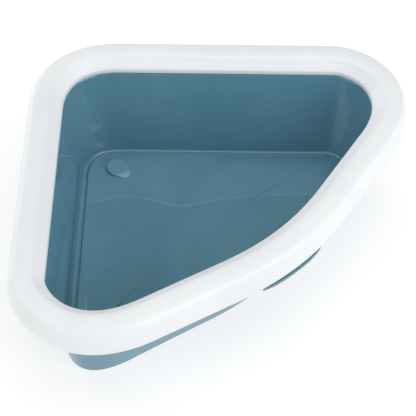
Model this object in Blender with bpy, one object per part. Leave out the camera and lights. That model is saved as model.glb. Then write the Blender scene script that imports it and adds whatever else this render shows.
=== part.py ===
"""Corner cat litter tray: a deep kite-shaped pan and the hollow rim that clips over its flange.

Frame: +Z up, the straight sides meet at the back (+Y) and the bowed side is the front (-Y).
X = 0 is the plane of symmetry. The origin is the middle of the footprint, on the floor.
"""
from math import atan2, cos, pi, radians, sin, tan

import bmesh
import bpy
from mathutils import Matrix, Vector
from mathutils.geometry import interpolate_bezier

MM = 0.001

# Driving dimensions, in millimetres --------------------------------------------------------
SIDE = 405.0            # straight side of the mouth, from sharp corner to sharp corner
FRONT_REACH = 0.6263    # front corner, as a share of SIDE along both straight sides
BACK_TRIM = 63.2        # where the rounding of the back corner starts, from the sharp corner
BACK_PULL = 0.644       # handle length of that rounding, as a share of its trim
WING_TRIM = (87.0, 116.9)    # rounding of the two side corners: on the straight, on the front side
WING_PULL = (0.173, 0.687)
NOSE_TRIM = 80.0        # rounding of the front corner
NOSE_PULL = 0.703
CORNER_STEPS = (15, 19, 25, 19)   # points on the back, left, front and right corners

WALL = 2.6              # moulded wall of the pan
DRAFT = radians(8.58)   # lean of the pan's walls
RING_OUT = -16.0        # foot ring that the pan stands on: its outer and inner edges
RING_IN = -19.0
FLOOR_TOP = 14.8        # raised floor panel
GUTTER = 12.2           # bottom of the gutter around the floor panel
FLANGE_TOP = 127.7      # flange that the rim sits on
FLANGE_OUT = 30.0       # reach of the flange beyond the mouth line
FLANGE_DROP = 112.0     # lower edge of the flange's turned-down skirt
WALL_FOOT = (-16.4, 15.2)    # inner face of the wall where it meets the gutter
NOSE_LEAN = 11.0        # how much further the front wall leans in at its foot
NOSE_START = -60.0      # Y where that begins, and the distance over which it grows
NOSE_FADE = 90.0

RIM_WALL = 2.4
LIP_FOOT = 128.0        # lower edge of the rim's inner lip
CROWN = 144.6           # top of the rim
RIM_WIDEST = (40.9, 120.7)
RIM_HEM = (33.6, 100.5)      # lower edge of the rim's outer skirt
BEAD_Z = 104.6          # shallow step that runs round above the hem

GRIP_HALF = 43.0        # half length of the grip lip that shows below the rim at the front
GRIP_ASIDE = -5.0       # its middle, a little to the left of the plane of symmetry
GRIP_OUT = 36.0         # its reach in the middle and at its ends
GRIP_END = 32.8
GRIP_Z = (95.6, 98.6)

BOSS_INSET = 55.3       # hollow boss on the floor: from the mouth's back corner to its round end
BOSS_ASIDE = 4.8        # how far it sits to the right of the plane of symmetry
BOSS_TOP = (20.9, 16.3)      # height of its sloping top, at the round end and the narrow end
BOSS_BIG = 13.1         # radius of the top's round end
BOSS_SMALL = 8.6        # radius of the top's narrow end
BOSS_REACH = 10.5       # distance between the two centres
BOSS_FLARE = 2.4        # how far the foot of its leaning walls stands out beyond the top
FIT = 0.3               # clearance between pieces that touch

LUG_LENGTH = 22.0       # clip lugs inside the rim's skirt
LUG_TOP = 110.6
LUG_ROOT = (33.0, 103.0)     # where a lug's ramp runs out into the skirt


# Plan outline ------------------------------------------------------------------------------
def corner_points():
    """The mouth's four sharp corners, seen from above, counterclockwise from the back."""
    lean = SIDE / 2 ** 0.5
    nose = -(2 ** 0.5) * FRONT_REACH * SIDE
    return [Vector((0, 0)), Vector((-lean, -lean)), Vector((0, nose)), Vector((lean, -lean))]


def outline():
    """Points of the mouth line: each corner is one Bezier arc, the sides are straight."""
    corners = corner_points()
    trims = [(BACK_TRIM, BACK_TRIM), WING_TRIM, (NOSE_TRIM, NOSE_TRIM), WING_TRIM[::-1]]
    pulls = [(BACK_PULL, BACK_PULL), WING_PULL, (NOSE_PULL, NOSE_PULL), WING_PULL[::-1]]
    points = []
    for i, (corner, steps) in enumerate(zip(corners, CORNER_STEPS)):
        to_last = (corners[i - 1] - corner).normalized()
        to_next = (corners[(i + 1) % 4] - corner).normalized()
        start = corner + to_last * trims[i][0]
        end = corner + to_next * trims[i][1]
        start_handle = start - to_last * trims[i][0] * pulls[i][0]
        end_handle = end - to_next * trims[i][1] * pulls[i][1]
        arc = interpolate_bezier(start.to_3d(), start_handle.to_3d(), end_handle.to_3d(),
                                 end.to_3d(), steps)
        points += [Vector((p.x, p.y)) for p in arc]
    return points


def middle_shift(points):
    """How far the outline moves in Y so that the rim's footprint is centred on the origin."""
    highest = max(p.y for p in points) + RIM_WIDEST[0]
    lowest = min(p.y for p in points) - RIM_WIDEST[0]
    return -(highest + lowest) / 2


MOUTH = outline()
SHIFT = middle_shift(MOUTH)
MOUTH = [Vector((p.x, p.y + SHIFT)) for p in MOUTH]


# Sections ----------------------------------------------------------------------------------
def arc(centre, radius, start, end, steps):
    """Points on an arc, angles in degrees."""
    angles = [radians(start + (end - start) * i / steps) for i in range(steps + 1)]
    return [(centre[0] + radius * cos(a), centre[1] + radius * sin(a)) for a in angles]


def wall_at(height, outside=False):
    """Offset of the pan's wall from the mouth line at a height."""
    inner = WALL_FOOT[0] + (height - WALL_FOOT[1]) * tan(DRAFT)
    return inner + (WALL / cos(DRAFT) if outside else 0.0)


def pan_section():
    """The pan's whole section as (offset, height), from the floor's top to its underside."""
    panel = -23.6
    top = [(-34.0, FLOOR_TOP), (panel, FLOOR_TOP), (panel + 1.3, FLOOR_TOP - 0.6),
           (panel + 2.2, GUTTER + 0.5), (panel + 3.4, GUTTER), (-18.7, GUTTER),
           (-17.2, GUTTER + 0.9), WALL_FOOT, (wall_at(70), 70.0),
           (wall_at(FLANGE_TOP - 2.4), FLANGE_TOP - 2.4)]
    top += arc((wall_at(FLANGE_TOP - 2.4) + 2.4, FLANGE_TOP - 2.4), 2.4, 150, 90, 2)
    top += arc((FLANGE_OUT - 2.5, FLANGE_TOP - 2.5), 2.5, 90, 0, 3)
    skirt = [(FLANGE_OUT, FLANGE_DROP), (FLANGE_OUT - WALL, FLANGE_DROP),
             (FLANGE_OUT - WALL, FLANGE_TOP - WALL)]
    under = [(wall_at(FLANGE_TOP - WALL, True) + 1.6, FLANGE_TOP - WALL),
             (wall_at(FLANGE_TOP - WALL - 2, True), FLANGE_TOP - WALL - 2),
             (wall_at(1.0, True), 1.0), (RING_OUT - 0.6, 0.0), (RING_IN, 0.0),
             (RING_IN + 0.4, GUTTER - WALL), (panel + 2.6, GUTTER - WALL),
             (panel + 0.9, GUTTER - WALL + 0.7), (panel - 0.4, FLOOR_TOP - WALL),
             (-34.0, FLOOR_TOP - WALL)]
    return top + skirt + under


def rim_face():
    """The rim's visible face as (offset, height), from the inner lip over the crown to the hem."""
    stretches = [
        ((0.0, LIP_FOOT), (2.0, LIP_FOOT + 3.4), (6.8, CROWN - 7.4), (9.8, CROWN - 3.8), 3),
        ((9.8, CROWN - 3.8), (11.8, CROWN - 1.4), (15.5, CROWN), (21.5, CROWN), 4),
        ((21.5, CROWN), (28.0, CROWN), (33.6, CROWN - 0.3), (35.5, CROWN - 2.2), 5),
        ((35.5, CROWN - 2.2), (39.0, CROWN - 5.7), (40.9, RIM_WIDEST[1] + 10), RIM_WIDEST, 5),
        (RIM_WIDEST, (40.9, RIM_WIDEST[1] - 7), (37.8, BEAD_Z + 5), (35.9, BEAD_Z), 4),
    ]
    points = []
    for a, b, c, d, steps in stretches:
        curve = interpolate_bezier(*[Vector((*p, 0)) for p in (a, b, c, d)], steps + 1)
        points += [(p.x, p.y) for p in curve[(1 if points else 0):]]
    return points + [(35.0, BEAD_Z - 0.5), (34.3, BEAD_Z - 1.6), RIM_HEM]


def inner_face(points, thickness):
    """The same line moved square to itself, to the side the section's hollow is on."""
    moved = []
    for i, here in enumerate(points):
        before = points[max(i - 1, 0)]
        after = points[min(i + 1, len(points) - 1)]
        along = Vector((after[0] - before[0], after[1] - before[1])).normalized()
        moved.append((here[0] + along.y * thickness, here[1] - along.x * thickness))
    return moved


def rim_section():
    """The rim's closed section: the visible face and the hollow's face behind it."""
    face = rim_face()
    back = inner_face(face, RIM_WALL)
    back[0] = (RIM_WALL, LIP_FOOT)
    back[-1] = (RIM_HEM[0] - RIM_WALL, RIM_HEM[1])
    return face + back[::-1]


def web_section():
    """Section of the web that hangs the grip lip from the flange's skirt."""
    inner, outer = FLANGE_OUT - WALL + FIT, FLANGE_OUT - FIT
    low, high = GRIP_Z[0] + FIT, FLANGE_DROP + 1.0
    return [(inner, low), (outer, low), (outer, high), (inner, high)]


# Building tools ----------------------------------------------------------------------------
def clear_scene():
    """Start from nothing."""
    for item in list(bpy.data.objects):
        bpy.data.objects.remove(item, do_unlink=True)


def make_collection(name):
    """A collection linked to the scene."""
    made = bpy.data.collections.new(name)
    bpy.context.scene.collection.children.link(made)
    return made


def make_material(name, colour, roughness, metallic=0.0):
    """A Principled material."""
    made = bpy.data.materials.new(name)
    made.use_nodes = True
    shader = made.node_tree.nodes["Principled BSDF"]
    shader.inputs["Base Color"].default_value = (*colour, 1.0)
    shader.inputs["Roughness"].default_value = roughness
    shader.inputs["Metallic"].default_value = metallic
    return made


def path_curve(name, points, closed):
    """A straight-segment curve in the plane, in metres."""
    data = bpy.data.curves.new(name, "CURVE")
    data.dimensions = "3D"
    data.twist_mode = "Z_UP"
    spline = data.splines.new("POLY")
    spline.points.add(len(points) - 1)
    for slot, p in zip(spline.points, points):
        slot.co = (p[0] * MM, p[1] * MM, 0.0, 1.0)
    spline.use_cyclic_u = closed
    return data


def sweep(name, route, section, closed_route=True, closed_section=True):
    """Carry a section of (offset, height) points along a level route, as a mesh object."""
    section_data = path_curve(name + "_section", section, closed_section)
    section_data.dimensions = "2D"
    section_object = bpy.data.objects.new(name + "_section", section_data)
    route_data = path_curve(name + "_route", route, closed_route)
    route_data.bevel_mode = "OBJECT"
    route_data.bevel_object = section_object
    route_data.use_fill_caps = not closed_route
    route_object = bpy.data.objects.new(name + "_route", route_data)
    for item in (section_object, route_object):
        GUIDES.objects.link(item)
    evaluated = route_object.evaluated_get(bpy.context.evaluated_depsgraph_get())
    mesh = bpy.data.meshes.new_from_object(evaluated)
    bpy.data.objects.remove(route_object, do_unlink=True)
    bpy.data.objects.remove(section_object, do_unlink=True)
    made = bpy.data.objects.new(name, mesh)
    edit = bmesh.new()
    edit.from_mesh(mesh)
    bmesh.ops.remove_doubles(edit, verts=edit.verts, dist=1e-6)
    if not closed_section:
        open_edges = [e for e in edit.edges if e.is_boundary]
        bmesh.ops.holes_fill(edit, edges=open_edges, sides=0)
    bmesh.ops.recalc_face_normals(edit, faces=edit.faces)
    edit.to_mesh(mesh)
    edit.free()
    return made


def teardrop(big, small, reach):
    """Outline of a teardrop: round end at the origin, narrow end along +X."""
    swing = pi / 2 - atan2(big - small, (reach ** 2 - (big - small) ** 2) ** 0.5)
    steps = 14
    round_end = [swing + (2 * pi - 2 * swing) * i / steps for i in range(steps + 1)]
    narrow_end = [-swing + 2 * swing * i / 6 for i in range(7)]
    return ([(big * cos(a), big * sin(a)) for a in round_end]
            + [(reach + small * cos(a), small * sin(a)) for a in narrow_end])


def prism(name, points, low, high, place, slope=0.0, bevel=0.0, foot=None):
    """A solid between two heights; its top may slope along X, be rounded, or have a wider foot."""
    edit = bmesh.new()
    base = [edit.verts.new((x * MM, y * MM, low * MM)) for x, y in points]
    grown = bmesh.ops.extrude_face_region(edit, geom=[edit.faces.new(base)])["geom"]
    lifted = [g for g in grown if isinstance(g, bmesh.types.BMVert)]
    bmesh.ops.translate(edit, verts=lifted, vec=(0, 0, (high - low) * MM))
    for vertex in lifted:
        vertex.co.z -= slope * vertex.co.x
    for vertex, (x, y) in zip(base, foot or points):
        vertex.co = Vector((x, y, low)) * MM
    bmesh.ops.recalc_face_normals(edit, faces=edit.faces)
    if bevel:
        rim = [e for e in edit.edges if all(v in lifted for v in e.verts)]
        bmesh.ops.bevel(edit, geom=rim, offset=bevel * MM, segments=3, profile=0.5,
                        affect="EDGES", material=-1)
    edit.transform(place)
    mesh = bpy.data.meshes.new(name)
    edit.to_mesh(mesh)
    edit.free()
    return bpy.data.objects.new(name, mesh)


def combine(target, tool, operation):
    """A Boolean with a hidden tool."""
    GUIDES.objects.link(tool)
    tool.hide_render = True
    tool.display_type = "WIRE"
    change = target.modifiers.new(tool.name, "BOOLEAN")
    change.object = tool
    change.operation = operation
    change.solver = "EXACT"


def lean_nose(item):
    """Lean the pan's front wall in towards its foot."""
    for vertex in item.data.vertices:
        share = min(1.0, max(0.0, (NOSE_START - vertex.co.y / MM) / NOSE_FADE))
        foot = max(0.0, 1 - vertex.co.z / MM / GRIP_Z[0])
        vertex.co.y += NOSE_LEAN * MM * share ** 2 * (3 - 2 * share) * foot


def finish(item, material, smooth=35.0):
    """Put a finished sub-part in the tray's collection with its material."""
    TRAY.objects.link(item)
    item.data.materials.clear()
    item.data.materials.append(material)
    item.data.shade_smooth()
    item.data.set_sharp_from_angle(angle=radians(smooth))


# Places ------------------------------------------------------------------------------------
def boss_place():
    """Frame of the boss: near the back corner, its narrow end towards the front."""
    apex = max(p.y for p in MOUTH)
    turn = Matrix.Rotation(-pi / 2, 4, "Z")
    return Matrix.Translation((BOSS_ASIDE * MM, (apex - BOSS_INSET) * MM, 0)) @ turn


def nose_route():
    """The stretch of the mouth line that the grip lip follows, from left to right."""
    low, high = GRIP_ASIDE - GRIP_HALF, GRIP_ASIDE + GRIP_HALF
    front = [i for i, p in enumerate(MOUTH) if p.y < 0 and low < p.x < high]
    route = MOUTH[front[0] - 1:front[-1] + 2]
    for end, inner, stop in ((0, 1, low), (-1, -2, high)):
        share = (stop - route[inner].x) / (route[end].x - route[inner].x)
        route[end] = route[inner].lerp(route[end], share)
    return route


def grip_plan():
    """Outline of the grip lip: a shallow crescent that follows the front of the mouth line."""
    route = nose_route()
    stops = [route[0].lerp(route[1], 0.3)] + route[1:-1] + [route[-2].lerp(route[-1], 0.7)]
    stops = [route[0]] + stops + [route[-1]]
    outer, inner = [], []
    for i, here in enumerate(stops):
        along = (stops[min(i + 1, len(stops) - 1)] - stops[max(i - 1, 0)]).normalized()
        outward = Vector((along.y, -along.x))
        fade = (abs(here.x - GRIP_ASIDE) / GRIP_HALF) ** 4
        outer.append(here + outward * (GRIP_OUT + (GRIP_END - GRIP_OUT) * fade))
        inner.append(here + outward * (FLANGE_OUT - WALL + FIT))
    return [(p.x, p.y) for p in outer + inner[::-1]]


def lug_places():
    """Middle point and direction of travel of each clip lug, along the mouth line."""
    places = []
    for i, here in enumerate(MOUTH):
        after = MOUTH[(i + 1) % len(MOUTH)]
        run = (after - here).length
        if run > 100:
            places += [(here.lerp(after, share), (after - here).normalized())
                       for share in (0.2, 0.8)]
    return places


# Sub-parts ---------------------------------------------------------------------------------
def build_pan():
    """The pan: floor, gutter, walls, flange, foot ring, hollow boss and front grip lip."""
    pan = sweep("pan", MOUTH, pan_section(), closed_section=False)
    lean_nose(pan)
    slope = (BOSS_TOP[0] - BOSS_TOP[1]) / (BOSS_BIG + BOSS_REACH + BOSS_SMALL)
    middle_top = BOSS_TOP[0] - slope * BOSS_BIG
    foot = teardrop(BOSS_BIG + BOSS_FLARE, BOSS_SMALL + BOSS_FLARE, BOSS_REACH)
    boss = prism("boss", teardrop(BOSS_BIG, BOSS_SMALL, BOSS_REACH), FLOOR_TOP - FIT,
                 middle_top, boss_place(), slope, bevel=1.0, foot=foot)
    pocket = prism("boss_pocket", teardrop(BOSS_BIG - WALL, BOSS_SMALL - WALL, BOSS_REACH),
                   0.0, middle_top - WALL, boss_place(), slope)
    web = sweep("grip_web", nose_route(), web_section(), closed_route=False)
    lip = prism("grip_lip", grip_plan(), *GRIP_Z, Matrix(), bevel=1.0)
    combine(pan, boss, "UNION")
    combine(pan, pocket, "DIFFERENCE")
    combine(pan, web, "UNION")
    combine(pan, lip, "UNION")
    return pan


def build_rim():
    """The clip-on rim with its clip lugs."""
    rim = sweep("rim", MOUTH, rim_section())
    lug_in = FLANGE_OUT + FIT
    profile = [(lug_in, LUG_TOP), (lug_in, LUG_TOP - 2.0), (LUG_ROOT[0], LUG_ROOT[1]),
               (LUG_ROOT[0] + 2.4, LUG_TOP)]
    for i, (middle, along) in enumerate(lug_places()):
        ends = [middle - along * LUG_LENGTH / 2, middle + along * LUG_LENGTH / 2]
        lug = sweep(f"lug_{i}", ends, profile, closed_route=False)
        combine(rim, lug, "UNION")
    return rim


def main():
    """Build the tray."""
    teal = make_material("pan_teal", (0.095, 0.205, 0.270), 0.22)
    white = make_material("rim_white", (0.83, 0.86, 0.88), 0.38)
    finish(build_pan(), teal)
    finish(build_rim(), white)


clear_scene()
TRAY = make_collection("corner_litter_tray")
GUIDES = make_collection("cutters")
main()
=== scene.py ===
"""Looks of the corner litter tray: a deep glossy teal pan under a broad white clip-on rim.

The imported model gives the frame. Each moulding is grown again here as one fine, rounded wall
and dressed in a procedural plastic; the sizes are the tray's own, in metres.
"""
import logging
import math
from dataclasses import dataclass
from enum import Enum
from typing import Any, Iterable, Sequence

import bmesh
import bpy
from mathutils import Matrix, Vector


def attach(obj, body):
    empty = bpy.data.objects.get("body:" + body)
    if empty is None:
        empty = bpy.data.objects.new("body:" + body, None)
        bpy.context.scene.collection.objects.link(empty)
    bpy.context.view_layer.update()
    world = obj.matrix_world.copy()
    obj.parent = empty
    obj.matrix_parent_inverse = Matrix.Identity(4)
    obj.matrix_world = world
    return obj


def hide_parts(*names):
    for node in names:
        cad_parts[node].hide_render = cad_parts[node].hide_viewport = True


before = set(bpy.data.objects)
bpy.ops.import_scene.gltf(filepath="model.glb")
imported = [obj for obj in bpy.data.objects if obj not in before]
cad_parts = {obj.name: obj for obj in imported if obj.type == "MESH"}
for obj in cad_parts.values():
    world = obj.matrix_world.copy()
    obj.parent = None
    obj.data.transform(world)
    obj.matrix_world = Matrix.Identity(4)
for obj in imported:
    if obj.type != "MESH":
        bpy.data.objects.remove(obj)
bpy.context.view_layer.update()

MM = 0.001
LOG = logging.getLogger("litter_tray")

Point = tuple[float, float]
Colour = tuple[float, float, float, float]


class Body(Enum):
    """The two rigid bodies of the tray."""

    PAN = "pan"
    RIM = "rim"


# Plan ----------------------------------------------------------------------------------------
def cubic(ends: Sequence[Vector], t: float) -> tuple[Vector, Vector]:
    """Point and direction on a cubic arc.

    Args:
        ends: start, first handle, second handle and end.
        t: place along the arc, 0 to 1.

    Returns:
        The point, and the unit vector along the arc.
    """
    a, b, c, d = ends
    s = 1 - t
    point = a * s ** 3 + b * 3 * s * s * t + c * 3 * s * t * t + d * t ** 3
    along = (b - a) * s * s + (c - b) * 2 * s * t + (d - c) * t * t
    return point, along.normalized()


@dataclass(frozen=True)
class MouthLine:
    """The edge of the tray's mouth, from above: two straight sides, a bowed front, four arcs."""

    side: float = 0.405
    front_reach: float = 0.6263
    back_trim: float = 0.0632
    back_pull: float = 0.644
    wing_trims: Point = (0.0870, 0.1169)
    wing_pulls: Point = (0.173, 0.687)
    nose_trim: float = 0.080
    nose_pull: float = 0.703
    rim_reach: float = 0.0409
    arc_steps: tuple[int, int, int, int] = (36, 44, 64, 44)
    side_steps: int = 10

    def corners(self) -> list[Vector]:
        """The four sharp corners, counterclockwise from the back one."""
        lean = self.side / math.sqrt(2)
        nose = -math.sqrt(2) * self.front_reach * self.side
        return [Vector((0, 0, 0)), Vector((-lean, -lean, 0)),
                Vector((0, nose, 0)), Vector((lean, -lean, 0))]

    def arc(self, index: int) -> list[Vector]:
        """Lay out one corner's arc, before the line is centred.

        Args:
            index: the corner, 0 at the back, counterclockwise.

        Returns:
            Start, first handle, second handle and end.
        """
        corners = self.corners()
        wing = (self.wing_trims, self.wing_pulls)
        back = ((self.back_trim,) * 2, (self.back_pull,) * 2)
        nose = ((self.nose_trim,) * 2, (self.nose_pull,) * 2)
        trims, pulls = (back, wing, nose, (wing[0][::-1], wing[1][::-1]))[index]
        corner = corners[index]
        before = (corners[index - 1] - corner).normalized()
        after = (corners[(index + 1) % 4] - corner).normalized()
        return [corner + before * trims[0], corner + before * trims[0] * (1 - pulls[0]),
                corner + after * trims[1] * (1 - pulls[1]), corner + after * trims[1]]

    def shift(self) -> float:
        """Find how far the line moves along Y so that the rim is centred on the origin.

        Returns:
            The move, in metres.
        """
        back = cubic(self.arc(0), 0.5)[0].y + self.rim_reach
        front = cubic(self.arc(2), 0.5)[0].y - self.rim_reach
        return -(back + front) / 2

    def walk(self) -> list[tuple[Vector, Vector]]:
        """Walk once round the line.

        Returns:
            Points, each with its outward direction.
        """
        move = Vector((0, self.shift(), 0))
        stations = []
        for index, steps in enumerate(self.arc_steps):
            ends = self.arc(index)
            for k in range(steps + 1):
                stations.append(cubic(ends, k / steps))
            leap = self.arc((index + 1) % 4)[0] - ends[3]
            count = self.side_steps if leap.length > self.nose_trim else 2
            stations += [(ends[3] + leap * k / count, leap.normalized()) for k in range(1, count)]
        return [(point + move, Vector((along.y, -along.x, 0))) for point, along in stations]

    def back_apex(self) -> float:
        """Y of the line's rearmost point."""
        return cubic(self.arc(0), 0.5)[0].y + self.shift()


MOUTH = MouthLine()


# Sections ------------------------------------------------------------------------------------
def rounded(corners: Sequence[tuple[float, float, float]], closed: bool = False,
            guard: float = 0.5, steps: int = 5) -> list[Point]:
    """Round the corners of a section.

    Args:
        corners: (offset, height, radius) in millimetres; radius 0 keeps a point as it is.
        closed: whether the last corner joins the first.
        guard: distance of the extra points that keep flats flat beside a rounding.
        steps: facets of each rounding.

    Returns:
        Points (offset, height) in metres.
    """
    points: list[Point] = []
    count = len(corners)
    for i, (x, z, radius) in enumerate(corners):
        here = Vector((x, z))
        if radius == 0 or (not closed and i in (0, count - 1)):
            points.append((x * MM, z * MM))
            continue
        before = Vector(corners[i - 1][:2]) - here
        after = Vector(corners[(i + 1) % count][:2]) - here
        turn = before.angle(after)
        trim = radius / math.tan(turn / 2)
        into, out = before.normalized(), after.normalized()
        centre = here + (into + out).normalized() * radius / math.sin(turn / 2)
        start, end = here + into * trim, here + out * trim
        if before.length > trim + 2 * guard:
            points.append(tuple((start + into * guard) * MM))
        spoke_a, spoke_b = start - centre, end - centre
        for k in range(steps + 1):
            points.append(tuple((centre + spoke_a.slerp(spoke_b, k / steps) * radius) * MM))
        if after.length > trim + 2 * guard:
            points.append(tuple((end + out * guard) * MM))
    return points


@dataclass(frozen=True)
class PanSection:
    """The pan's wall, in millimetres off the mouth line and above the floor."""

    wall: float = 2.6
    draft: float = math.radians(8.58)
    foot: Point = (-16.4, 15.2)
    panel: float = 14.8
    gutter: float = 12.2
    panel_edge: float = -23.4
    flange: float = 127.7
    flange_out: float = 30.0
    flange_drop: float = 112.0
    ring: Point = (-15.9, -19.0)
    floor_edge: float = -27.0

    def wall_at(self, height: float, outside: bool = False) -> float:
        """Find the offset of one face of the wall.

        Args:
            height: where, in millimetres above the ground.
            outside: whether it is the outer face.

        Returns:
            The offset, in millimetres.
        """
        inner = self.foot[0] + (height - self.foot[1]) * math.tan(self.draft)
        return inner + (self.wall / math.cos(self.draft) if outside else 0.0)

    def points(self) -> list[Point]:
        """Lay out the wall from the edge of the floor's top, over the flange, to its underside.

        Returns:
            Points (offset, height) in metres.
        """
        under = self.flange - self.wall
        lid = self.gutter - self.wall
        middle = (self.gutter + self.flange) / 2
        return rounded([
            (self.floor_edge, self.panel, 0),
            (self.panel_edge, self.panel, 1.5),
            (self.panel_edge + 2.0, self.gutter, 1.3),
            (self.wall_at(self.gutter), self.gutter, 2.4),
            (self.wall_at(middle), middle, 0),
            (self.wall_at(self.flange), self.flange, 3.6),
            (self.flange_out, self.flange, 2.5),
            (self.flange_out, self.flange_drop, 0.7),
            (self.flange_out - self.wall, self.flange_drop, 0.7),
            (self.flange_out - self.wall, under, 1.0),
            (self.wall_at(under, True), under, 2.5),
            (self.wall_at(middle, True), middle, 0),
            (self.ring[0], 0.0, 0.9),
            (self.ring[1], 0.0, 0.6),
            (self.ring[1] + 0.4, lid, 1.0),
            (self.panel_edge + 2.6, lid, 1.0),
            (self.panel_edge + 0.8, lid + self.wall, 1.0),
            (self.floor_edge, self.panel - self.wall, 0),
        ])


@dataclass(frozen=True)
class RimSection:
    """The rim's hollow section: lip, steep inner slope, crown, round skirt, step and hem."""

    wall: float = 2.4
    lip_foot: float = 128.0
    crown: float = 144.6
    widest: Point = (40.85, 120.7)
    hem: Point = (33.6, 100.5)
    step: float = 104.6

    def face(self) -> list[Point]:
        """Lay out the visible face from the lip to the step.

        Returns:
            Points (offset, height) in millimetres.
        """
        top, out = self.crown, self.widest[0]
        foot = self.lip_foot
        turn = (1.4, foot + 6.5)
        crease = (9.8, top - 3.8)
        shoulder = (35.5, top - 2.2)
        arcs = [
            ((0.0, foot + 1.3), (0.0, foot + 3.6), (0.2, foot + 5.4), turn, 8),
            (turn, (2.9, foot + 7.9), (6.8, top - 6.0), crease, 8),
            (crease, (11.8, top - 1.4), (15.5, top), (21.5, top), 10),
            ((21.5, top), (28.0, top), (33.6, top - 0.3), shoulder, 14),
            (shoulder, (39.0, top - 5.7), (out, self.widest[1] + 10), self.widest, 12),
            (self.widest, (out, self.widest[1] - 7), (37.8, self.step + 5), (35.9, self.step), 10),
        ]
        points: list[Point] = []
        for *ends, steps in arcs:
            ends = [Vector(p) for p in ends]
            first = 1 if points else 0
            points += [tuple(cubic(ends, k / steps)[0]) for k in range(first, steps + 1)]
        return points

    def points(self) -> list[Point]:
        """Close the section: the face, the hem, the hollow's face and the lip.

        Returns:
            Points (offset, height) in metres.
        """
        face = self.face()
        hollow = []
        for i, here in enumerate(face):
            ahead, behind = Vector(face[min(i + 1, len(face) - 1)]), Vector(face[max(i - 1, 0)])
            along = (ahead - behind).normalized()
            hollow.append((here[0] + along.y * self.wall, here[1] - along.x * self.wall, 0))
        step = [(35.3, self.step - 0.1, 0.3), (34.8, self.step - 1.3, 0.4),
                (self.hem[0], self.hem[1], 1.1), (self.hem[0] - self.wall, self.hem[1], 1.0)]
        lip = [(self.wall, self.lip_foot, 0.8), (-0.1, self.lip_foot, 0.9)]
        whole = [(*p, 0) for p in face] + step + hollow[-2:0:-1] + lip
        return rounded(whole, closed=True, guard=0.3, steps=4)


# Mesh tools ----------------------------------------------------------------------------------
class Moulding:
    """A wall grown ring by ring out of one loop of edges."""

    def __init__(self, name: str, count: int) -> None:
        """Start from a loop of a given number of points."""
        self.name = name
        self.mesh = bmesh.new()
        made = bmesh.ops.create_circle(self.mesh, segments=count, radius=1.0)
        self.ring: list[bmesh.types.BMVert] = list(made["verts"])

    def place(self, spots: Iterable[Vector]) -> None:
        """Put the current ring's points where they belong.

        Args:
            spots: a place for each point.
        """
        for vertex, spot in zip(self.ring, spots):
            vertex.co = spot

    def edges(self, ring: Sequence[bmesh.types.BMVert]) -> list[bmesh.types.BMEdge]:
        """The edges between neighbours of a ring."""
        pairs = zip(ring, list(ring[1:]) + [ring[0]])
        return [self.mesh.edges.get(pair) for pair in pairs]

    def grow(self, spots: Iterable[Vector]) -> None:
        """Extrude the current ring and put the new one in its place.

        Args:
            spots: a place for each point of the new ring.
        """
        made = bmesh.ops.extrude_edge_only(self.mesh, edges=self.edges(self.ring))["geom"]
        fresh = {item for item in made if isinstance(item, bmesh.types.BMVert)}
        ring = []
        for old in self.ring:
            ring.append(next(e.other_vert(old) for e in old.link_edges if e.other_vert(old) in fresh))
        self.ring = ring
        self.place(spots)

    def cap(self) -> None:
        """Close the current ring with one face."""
        bmesh.ops.contextual_create(self.mesh, geom=self.edges(self.ring))

    def join(self, other: Sequence[bmesh.types.BMVert]) -> None:
        """Bridge the current ring to another one."""
        bmesh.ops.bridge_loops(self.mesh, edges=self.edges(self.ring) + self.edges(other))

    def solid(self) -> bpy.types.Object:
        """Turn the finished wall into an object."""
        bmesh.ops.recalc_face_normals(self.mesh, faces=self.mesh.faces)
        return as_object(self.name, self.mesh)


def as_object(name: str, mesh: bmesh.types.BMesh) -> bpy.types.Object:
    """Store a bmesh in a new object.

    Args:
        name: the object's name.
        mesh: the bmesh, which is freed.

    Returns:
        The object, linked to the scene.
    """
    data = bpy.data.meshes.new(name)
    mesh.to_mesh(data)
    mesh.free()
    made = bpy.data.objects.new(name, data)
    bpy.context.scene.collection.objects.link(made)
    return made


def carve(target: bpy.types.Object, tool: bpy.types.Object, operation: str) -> None:
    """Apply a Boolean and throw the tool away.

    Args:
        target: the object that is changed.
        tool: the object that it is joined with or cut by.
        operation: UNION or DIFFERENCE.
    """
    change = target.modifiers.new(tool.name, "BOOLEAN")
    change.object, change.operation, change.solver = tool, operation, "EXACT"
    shaped = target.evaluated_get(bpy.context.evaluated_depsgraph_get())
    data = bpy.data.meshes.new_from_object(shaped)
    target.modifiers.clear()
    target.data = data
    bpy.data.objects.remove(tool, do_unlink=True)


def slab(name: str, outline: Sequence[Vector], low: float, high: float,
         edge: float) -> bpy.types.Object:
    """An outline made solid between two heights, with rounded edges.

    Args:
        name: the object's name.
        outline: points round the slab.
        low: height of its underside.
        high: height of its top.
        edge: radius of its edges.

    Returns:
        The slab.
    """
    body = Moulding(name, len(outline))
    body.place(Vector((p.x, p.y, low)) for p in outline)
    body.cap()
    body.grow(Vector((p.x, p.y, high)) for p in outline)
    body.cap()
    bmesh.ops.recalc_face_normals(body.mesh, faces=body.mesh.faces)
    if edge:
        sharp = [e for e in body.mesh.edges if e.calc_face_angle(0) > math.radians(50)]
        bmesh.ops.bevel(body.mesh, geom=sharp, offset=edge, segments=4, profile=0.5,
                        affect="EDGES", material=-1)
    return as_object(name, body.mesh)


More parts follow.
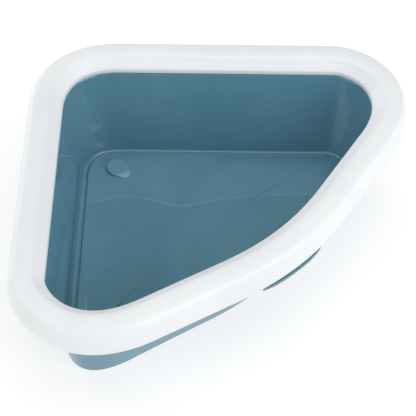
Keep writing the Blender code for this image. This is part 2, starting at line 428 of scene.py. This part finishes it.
# Finishes ------------------------------------------------------------------------------------
class Value:
    """A number in a shader that takes part in arithmetic."""

    def __init__(self, sheet: "Sheet", socket: bpy.types.NodeSocket) -> None:
        """Wrap an output socket."""
        self.sheet = sheet
        self.socket = socket

    def _maths(self, operation: str, left: Any, right: Any) -> "Value":
        """Add a Math node for two operands."""
        node = self.sheet.node("ShaderNodeMath", {"operation": operation}, {0: left, 1: right})
        return Value(self.sheet, node.outputs[0])

    def __add__(self, other: Any) -> "Value":
        """Sum."""
        return self._maths("ADD", self, other)

    __radd__ = __add__

    def __mul__(self, other: Any) -> "Value":
        """Product."""
        return self._maths("MULTIPLY", self, other)

    __rmul__ = __mul__

    def __sub__(self, other: Any) -> "Value":
        """Difference."""
        return self._maths("SUBTRACT", self, other)

    def __rsub__(self, other: Any) -> "Value":
        """Difference, the other way round."""
        return self._maths("SUBTRACT", other, self)


class Sheet:
    """A material under construction."""

    def __init__(self, name: str) -> None:
        """Make an empty material with its shader."""
        self.material = bpy.data.materials.new(name)
        self.material.use_nodes = True
        self.tree = self.material.node_tree
        self.shader = self.tree.nodes["Principled BSDF"]
        self.place = self.node("ShaderNodeTexCoord").outputs["Object"]

    def node(self, kind: str, settings: dict[str, Any] | None = None,
             inputs: dict[Any, Any] | None = None) -> bpy.types.Node:
        """Add a node.

        Args:
            kind: the node's type.
            settings: its own settings, such as an operation.
            inputs: values or links of its sockets, by name or number.

        Returns:
            The node.
        """
        made = self.tree.nodes.new(kind)
        for key, value in (settings or {}).items():
            setattr(made, key, value)
        for key, value in (inputs or {}).items():
            self.feed(made.inputs[key], value)
        return made

    def feed(self, socket: bpy.types.NodeSocket, value: Any) -> None:
        """Link or set a socket."""
        if isinstance(value, Value):
            value = value.socket
        if isinstance(value, bpy.types.NodeSocket):
            self.tree.links.new(value, socket)
        else:
            socket.default_value = value

    def noise(self, scale: float, detail: float = 2.0, place: Any = None, rough: float = 0.5) -> Value:
        """Make cloudy noise around 0.5.

        Args:
            scale: cells to the metre.
            detail: octaves.
            place: coordinates; the piece's own where none are given.
            rough: share of each finer octave.

        Returns:
            The noise.
        """
        inputs = {"Vector": place or self.place, "Scale": scale, "Detail": detail, "Roughness": rough}
        return Value(self, self.node("ShaderNodeTexNoise", {}, inputs).outputs["Fac"])

    def streaks(self, turn: float, length: float, fine: float, seed: float) -> Value:
        """Make short fine scratches out of noise stretched along one way.

        Args:
            turn: the scratches' direction, in radians about Z.
            length: their length, in metres.
            fine: their width, in metres.
            seed: shift that makes one set unlike another.

        Returns:
            1 on a scratch, 0 elsewhere.
        """
        stretched = self.node("ShaderNodeMapping", {}, {
            "Vector": self.place, "Location": (seed, -seed, seed), "Rotation": (0, 0, turn),
            "Scale": (1 / length, 1 / fine, 1 / length)}).outputs["Vector"]
        return self.span(self.noise(1.0, 1.0, stretched), 0.67, 0.74)

    def span(self, value: Value, low: float, high: float) -> Value:
        """Ramp smoothly from 0 to 1.

        Args:
            value: what is ramped.
            low: where the ramp is 0.
            high: where the ramp is 1.

        Returns:
            The ramp.
        """
        inputs = {"Value": value, "From Min": low, "From Max": high}
        node = self.node("ShaderNodeMapRange", {"interpolation_type": "SMOOTHSTEP"}, inputs)
        return Value(self, node.outputs["Result"])

    def height(self) -> Value:
        """Height above the floor."""
        split = self.node("ShaderNodeSeparateXYZ", {}, {0: self.place})
        return Value(self, split.outputs["Z"])

    def blend(self, share: Value, first: Any, second: Any) -> bpy.types.NodeSocket:
        """Mix two colours."""
        node = self.node("ShaderNodeMix", {"data_type": "RGBA"}, {0: share, 6: first, 7: second})
        return node.outputs[2]


@dataclass(frozen=True)
class MouldedPlastic:
    """Injection-moulded polypropylene: cloudy tint, orange peel, fine scratches, most of them in one
    band of height.
    """

    name: str
    slot: str
    deep: Colour
    pale: Colour
    gloss: float
    gloss_spread: float
    peel: float
    grain: float
    scuff: float
    worn_low: float
    worn_high: float
    index: float

    def build(self) -> bpy.types.Material:
        """Make the material."""
        sheet = Sheet(self.name)
        cloud = sheet.noise(5.5, 3.0)
        flow = sheet.noise(38.0, 4.0, rough=0.6)
        speck = sheet.noise(900.0, 2.0)
        tint = sheet.span(cloud * 0.62 + flow * 0.26 + speck * 0.12, 0.36, 0.64)
        where = sheet.noise(16.0, 2.0)
        hairs = sheet.streaks(0.5, 0.05, 0.0011, 3.1) + sheet.streaks(-1.1, 0.07, 0.0014, 7.7)
        level = sheet.height()
        band = sheet.span(level, self.worn_high + 0.004, self.worn_high)
        band = band * sheet.span(level, self.worn_low - 0.004, self.worn_low)
        marks = hairs * sheet.span(where, 0.46, 0.62) * (0.25 + band * 0.75) * self.scuff
        body = sheet.blend(tint, self.deep, self.pale)
        worn = [min(1.0, c * 1.12 + 0.03) for c in self.pale[:3]] + [1.0]
        sheet.feed(sheet.shader.inputs["Base Color"], sheet.blend(marks, body, worn))
        haze = sheet.span(sheet.noise(9.0, 5.0, rough=0.65), 0.38, 0.66)
        rough = self.gloss + self.gloss_spread * haze + marks * 0.22 + (speck - 0.5) * 0.03
        sheet.feed(sheet.shader.inputs["Roughness"], rough)
        peel = sheet.noise(210.0, 2.0) * self.peel + sheet.noise(1600.0, 2.0) * self.grain - marks * 0.35
        bump = sheet.node("ShaderNodeBump", {}, {"Height": peel, "Strength": 1.0, "Distance": 0.00004})
        sheet.feed(sheet.shader.inputs["Normal"], bump.outputs["Normal"])
        sheet.shader.inputs["IOR"].default_value = self.index
        return sheet.material


TEAL = MouldedPlastic(
    name="teal_polypropylene", slot="pan_plastic",
    deep=(0.104, 0.258, 0.340, 1), pale=(0.126, 0.290, 0.378, 1),
    gloss=0.022, gloss_spread=0.024, peel=0.18, grain=0.10, scuff=0.24,
    worn_low=0.010, worn_high=0.030, index=1.64)
WHITE = MouldedPlastic(
    name="white_polypropylene", slot="rim_plastic",
    deep=(0.800, 0.825, 0.845, 1), pale=(0.850, 0.868, 0.880, 1),
    gloss=0.40, gloss_spread=0.08, peel=0.30, grain=0.5, scuff=0.20,
    worn_low=0.135, worn_high=0.150, index=1.49)


# Sub-assemblies ------------------------------------------------------------------------------
def dress(piece: bpy.types.Object, finish: MouldedPlastic, body: Body, stands_for: str | None) -> None:
    """Give a piece its finish and its place in the frame.

    Args:
        piece: the finished piece.
        finish: its plastic.
        body: the body that it moves with.
        stands_for: the plain node that it replaces, if any.
    """
    piece.data.materials.clear()
    piece.data.materials.append(MATERIALS[finish.name])
    piece.data.shade_smooth()
    piece.data.set_sharp_from_angle(angle=math.radians(40))
    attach(piece, body.value)
    if stands_for:
        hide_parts(stands_for)
    LOG.info("%s: %d faces, on %s", piece.name, len(piece.data.polygons), body.value)


MATERIALS: dict[str, bpy.types.Material] = {}


@dataclass(frozen=True)
class Pan:
    """The pan: floor, gutter, walls, flange and foot ring, with the boss and the grip lip."""

    section: PanSection = PanSection()
    floor_rings: int = 48
    floor_middle: Point = (0.0, -0.030)
    boss_inset: float = 0.0553
    boss_aside: float = 0.0048
    boss_radii: Point = (0.0131, 0.0086)
    boss_reach: float = 0.0105
    boss_tops: Point = (0.0209, 0.0163)
    boss_flare: float = 0.0019
    grip_half: float = 0.041
    grip_aside: float = -0.005
    grip_outs: Point = (0.0360, 0.0328)
    grip_heights: Point = (0.0956, 0.0986)
    grip_root: float = 0.0277
    nose_lean: float = 0.011
    nose_start: float = -0.060
    nose_fade: float = 0.090
    fold_aside: float = 0.006
    fold_round: float = 0.004
    fold_width: float = 0.060
    fold_slopes: Point = (-0.020, 0.052)
    droop_start: float = -0.045
    droop_bend: float = 0.50

    def swell(self, spot: Vector, share: float) -> float:
        """How far the thin floor is warped away from its nominal plane.

        Args:
            spot: the place, in plan.
            share: 0 in the middle of the floor, 1 at its edge, where the gutter holds it flat.

        Returns:
            The height, in metres.
        """
        deep, across = (spot.x + spot.y) / math.sqrt(2), (spot.x - spot.y) / math.sqrt(2)
        fold = math.hypot(across - self.fold_aside, self.fold_round) - self.fold_round
        slope = self.fold_slopes[0] + self.fold_slopes[1] * math.tanh(fold / self.fold_width)
        droop = min(0.0, across - self.droop_start)
        return (deep * slope - self.droop_bend * droop * droop) * (1 - share ** 12)

    def lean(self, spot: Vector) -> float:
        """Find how much further in the front wall stands, growing towards its foot.

        Args:
            spot: a place on the wall.

        Returns:
            The move along Y, in metres.
        """
        share = min(1.0, max(0.0, (self.nose_start - spot.y) / self.nose_fade))
        foot = max(0.0, 1 - spot.z / self.grip_heights[0])
        return self.nose_lean * share ** 2 * (3 - 2 * share) * foot

    def walls(self) -> bpy.types.Object:
        """Grow the whole wall outwards from the floor's edge, then close the floor.

        Returns:
            The pan without its boss and grip lip.
        """
        stations = MOUTH.walk()
        points = self.section.points()
        body = Moulding("tray_pan", len(stations))
        start = body.ring

        def around(offset: float, height: float) -> list[Vector]:
            """One ring of the wall."""
            spots = [p + n * offset + Vector((0, 0, height)) for p, n in stations]
            return [spot + Vector((0, self.lean(spot), 0)) for spot in spots]

        body.place(around(*points[0]))
        for offset, height in points[1:]:
            body.grow(around(offset, height))
        underside = [v.co.copy() for v in body.ring]
        self.close_floor(body, underside, lift=False)
        body.ring = start
        self.close_floor(body, [v.co.copy() for v in start], lift=True)
        return body.solid()

    def close_floor(self, body: Moulding, edge: list[Vector], lift: bool) -> None:
        """Shrink a ring to the middle of the floor and cap it.

        Args:
            body: the moulding, whose current ring is the floor's edge.
            edge: where that ring's points are.
            lift: whether the floor's swell shows on this side.
        """
        middle = Vector((*self.floor_middle, edge[0].z))
        for k in range(1, self.floor_rings):
            share = 1 - k / self.floor_rings
            spots = [middle.lerp(p, share) for p in edge]
            if lift:
                spots = [p + Vector((0, 0, self.swell(p, share))) for p in spots]
            body.grow(spots)
        body.cap()

    def drop(self, grow: float) -> list[Vector]:
        """Lay out the boss: the hull of a large and a small circle, its length along X.

        Args:
            grow: what is added to both radii.

        Returns:
            Points round the outline.
        """
        big, small = (r + grow for r in self.boss_radii)
        swing = math.acos((big - small) / self.boss_reach)
        turns = 40
        large = [swing + (math.tau - 2 * swing) * k / turns for k in range(turns + 1)]
        tip = [-swing + 2 * swing * k / 20 for k in range(21)]
        return ([Vector((big * math.cos(a), big * math.sin(a), 0)) for a in large]
                + [Vector((self.boss_reach + small * math.cos(a), small * math.sin(a), 0)) for a in tip])

    def boss_frame(self) -> Matrix:
        """The boss's place, its narrow end towards the middle of the tray."""
        centre = Vector((self.boss_aside, MOUTH.back_apex() - self.boss_inset, 0))
        return Matrix.Translation(centre) @ Matrix.Rotation(-math.pi / 2, 4, "Z")

    def boss_top(self, x: float) -> float:
        """Find the height of the boss's top: nearly level, then falling beyond a faint fold.

        Args:
            x: place along the boss.

        Returns:
            The height, in metres.
        """
        high, low = self.boss_tops
        fold, end = 0.0055, self.boss_reach + self.boss_radii[1]
        kink = high - 0.0017
        if x < fold:
            return high + (kink - high) * (x + self.boss_radii[0]) / (fold + self.boss_radii[0])
        return kink + (low - kink) * (x - fold) / (end - fold)

    def boss(self) -> bpy.types.Object:
        """Make the boss as a solid sunk into the floor, with leaning walls and a round edge.

        Returns:
            The boss.
        """
        floor, edge = self.section.panel * MM, 0.0008
        turns = [math.radians(15 * k) for k in range(7)]
        body = Moulding("floor_boss", len(self.drop(0.0)))
        outline = self.drop(self.boss_flare)
        body.place(Vector((p.x, p.y, floor - 0.0010)) for p in outline)
        body.cap()
        for rise in (0.0003, 0.0008, 0.0014):
            share = (1 - rise / 0.0030) ** 2
            outline = self.drop(self.boss_flare * share)
            body.grow(Vector((p.x, p.y, min(floor + rise, self.boss_top(p.x) - edge * 1.05)))
                      for p in outline)
        for turn in turns:
            outline = self.drop(-edge * (1 - math.cos(turn)))
            sink = edge * (1 - math.sin(turn))
            body.grow(Vector((p.x, p.y, self.boss_top(p.x) - sink)) for p in outline)
        for k in range(1, 9):
            outline = self.drop(-edge - 0.0008 * k)
            body.grow(Vector((p.x, p.y, self.boss_top(p.x))) for p in outline)
        body.cap()
        bmesh.ops.transform(body.mesh, matrix=self.boss_frame(), verts=body.mesh.verts)
        return body.solid()

    def pocket(self) -> bpy.types.Object:
        """The hollow under the boss."""
        wall = self.section.wall * MM
        outline = [self.boss_frame() @ p for p in self.drop(-wall)]
        return slab("boss_pocket", outline, -0.001, self.boss_tops[1] - wall, 0.0)

    def grip(self) -> list[bpy.types.Object]:
        """Make the crescent lip that shows under the rim at the front.

        Returns:
            The web that the lip hangs on, and the lip.
        """
        route = [(p, n) for p, n in MOUTH.walk()
                 if abs(p.x - self.grip_aside) < self.grip_half and p.y < 0]
        middle, end = self.grip_outs
        fades = [(abs(p.x - self.grip_aside) / self.grip_half) ** 4 for p, _ in route]
        crescent = [p + n * (middle + (end - middle) * fade) for (p, n), fade in zip(route, fades)]
        root = [p + n * (self.grip_root + 0.0004) for p, n in route]
        low, high = self.grip_heights
        lip = slab("grip_lip", crescent + root[::-1], low, high, 0.0011)
        back = [p + n * self.grip_root for p, n in route[1:-1]]
        front = [p + n * (self.grip_root + 0.002) for p, n in route[1:-1]]
        ceiling = self.section.flange_drop * MM + 0.001
        web = slab("grip_web", front + back[::-1], low + 0.0003, ceiling, 0.0)
        return [web, lip]

    def build(self) -> None:
        """Make the pan as one body."""
        pan = self.walls()
        carve(pan, self.boss(), "UNION")
        carve(pan, self.pocket(), "DIFFERENCE")
        for part in self.grip():
            carve(pan, part, "UNION")
        pan.name = "tray_pan"
        dress(pan, TEAL, Body.PAN, "pan")


@dataclass(frozen=True)
class Rim:
    """The hollow rim with the clip lugs inside its skirt."""

    section: RimSection = RimSection()
    lug_length: float = 0.022
    lug_in: float = 0.0303
    lug_root: Point = (0.0330, 0.1030)
    lug_top: float = 0.1106
    lug_shares: tuple[float, float] = (0.2, 0.8)

    def shell(self) -> bpy.types.Object:
        """Grow the closed section round the mouth line.

        Returns:
            The rim without its lugs.
        """
        stations = MOUTH.walk()
        body = Moulding("clip_on_rim", len(stations))
        start = body.ring
        for k, (offset, height) in enumerate(self.section.points()):
            spots = [p + n * offset + Vector((0, 0, height)) for p, n in stations]
            if k == 0:
                body.place(spots)
            else:
                body.grow(spots)
        body.join(start)
        return body.solid()

    def lug(self, index: int, middle: Vector, along: Vector) -> bpy.types.Object:
        """Make one wedge that clips under the flange's skirt.

        Args:
            index: the lug's number.
            middle: its place on the mouth line.
            along: the line's direction there.

        Returns:
            The lug.
        """
        outward = Vector((along.y, -along.x, 0))
        body = bmesh.new()
        bmesh.ops.create_cube(body, size=1.0)
        deep = self.lug_root[0] + 0.0030 - self.lug_in
        for vertex in body.verts:
            top, inner = vertex.co.z > 0, vertex.co.y < 0
            reach = self.lug_in if inner else self.lug_in + deep
            height = self.lug_top if top else (self.lug_top - 0.0020 if inner else self.lug_root[1])
            spot = middle + along * vertex.co.x * self.lug_length + outward * reach
            vertex.co = Vector((spot.x, spot.y, height))
        bmesh.ops.recalc_face_normals(body, faces=body.faces)
        edges = [e for e in body.edges
                 if all((v.co - middle).dot(outward) < self.lug_in + 0.0005 for v in e.verts)]
        bmesh.ops.bevel(body, geom=edges, offset=0.0004, segments=3, profile=0.5,
                        affect="EDGES", material=-1)
        return as_object(f"clip_lug_{index}", body)

    def build(self) -> None:
        """Make the rim as one body."""
        rim = self.shell()
        move = Vector((0, MOUTH.shift(), 0))
        index = 0
        for here in range(4):
            start, end = MOUTH.arc(here)[3] + move, MOUTH.arc((here + 1) % 4)[0] + move
            if (end - start).length < 0.1:
                continue
            for share in self.lug_shares:
                index += 1
                lug = self.lug(index, start.lerp(end, share), (end - start).normalized())
                carve(rim, lug, "UNION")
        dress(rim, WHITE, Body.RIM, "rim")


# Studio --------------------------------------------------------------------------------------
@dataclass(frozen=True)
class Softbox:
    """A square soft light aimed at the tray."""

    name: str
    spot: tuple[float, float, float]
    size: float
    power: float

    def build(self, target: Vector) -> None:
        """Hang the light.

        Args:
            target: what it is aimed at.
        """
        data = bpy.data.lights.new(self.name, "AREA")
        data.shape, data.size, data.energy = "SQUARE", self.size, self.power
        lamp = bpy.data.objects.new(self.name, data)
        lamp.location = self.spot
        lamp.rotation_euler = (target - Vector(self.spot)).to_track_quat("-Z", "Y").to_euler()
        bpy.context.scene.collection.objects.link(lamp)


@dataclass(frozen=True)
class Studio:
    """A pale floor, soft light and the camera."""

    floor_size: float = 8.0
    floor_drop: float = 0.0002
    floor_colours: tuple[Colour, Colour] = ((0.34, 0.345, 0.35, 1), (0.36, 0.363, 0.366, 1))
    glow: float = 0.70
    sky: float = 0.17
    azimuth: float = -44.565
    elevation: float = 48.692
    roll: float = 0.3643
    aim: tuple[float, float, float] = (-0.0296, -0.0852, 0.128)
    distance: float = 1.6835
    lens: float = 132.33
    boxes: tuple[Softbox, ...] = (
        Softbox("overhead", (0.3, -0.2, 2.2), 2.2, 24.0),
        Softbox("front", (0.3, -2.6, 1.5), 2.0, 44.0),
        Softbox("right", (2.4, -0.6, 1.2), 1.8, 6.0),
        Softbox("left", (-2.4, 0.4, 1.2), 1.8, 24.0),
        Softbox("back", (0.0, 2.6, 0.8), 1.2, 25.0),
    )

    def floor(self) -> None:
        """Lay a pale seamless floor."""
        mesh = bmesh.new()
        bmesh.ops.create_grid(mesh, x_segments=4, y_segments=4, size=self.floor_size / 2)
        floor = as_object("studio_floor", mesh)
        sheet = Sheet("studio_paper")
        fade = sheet.span(sheet.noise(3.0, 2.0), 0.3, 0.7)
        pale = sheet.blend(fade, *self.floor_colours)
        sheet.feed(sheet.shader.inputs["Base Color"], pale)
        sheet.shader.inputs["Roughness"].default_value = 0.9
        sheet.shader.inputs["Emission Color"].default_value = (1, 1, 1, 1)
        sheet.shader.inputs["Emission Strength"].default_value = self.glow
        floor.data.materials.append(sheet.material)
        floor.location.z = -self.floor_drop

    def light(self) -> None:
        """Fill the room with soft light."""
        world = bpy.data.worlds.new("studio_sky")
        world.use_nodes = True
        world.node_tree.nodes["Background"].inputs["Color"].default_value = (1, 1, 1, 1)
        world.node_tree.nodes["Background"].inputs["Strength"].default_value = self.sky
        bpy.context.scene.world = world
        for box in self.boxes:
            box.build(Vector(self.aim))

    def camera(self) -> None:
        """Stand the camera at the front left, looking down into the tray."""
        a, e, r = (math.radians(v) for v in (self.azimuth, self.elevation, self.roll))
        back = Vector((math.sin(a) * math.cos(e), -math.cos(a) * math.cos(e), math.sin(e)))
        level = Vector((math.cos(a), math.sin(a), 0))
        up = back.cross(level)
        right = level * math.cos(r) + up * math.sin(r)
        up = back.cross(right)
        turn = Matrix((right, up, back)).transposed().to_4x4()
        data = bpy.data.cameras.new("camera")
        data.lens = self.lens
        eye = bpy.data.objects.new("camera", data)
        eye.matrix_world = Matrix.Translation(Vector(self.aim) + back * self.distance) @ turn
        bpy.context.scene.collection.objects.link(eye)
        bpy.context.scene.camera = eye

    def build(self) -> None:
        """Set up the whole studio."""
        self.floor()
        self.light()
        self.camera()
        bpy.context.scene.view_settings.view_transform = "Standard"


def main() -> None:
    """Build the tray and its studio."""
    logging.basicConfig(level=logging.INFO, format="%(name)s: %(message)s")
    for finish in (TEAL, WHITE):
        MATERIALS[finish.name] = finish.build()
    Pan().build()
    Rim().build()
    Studio().build()


if __name__ == "__main__":
    main()
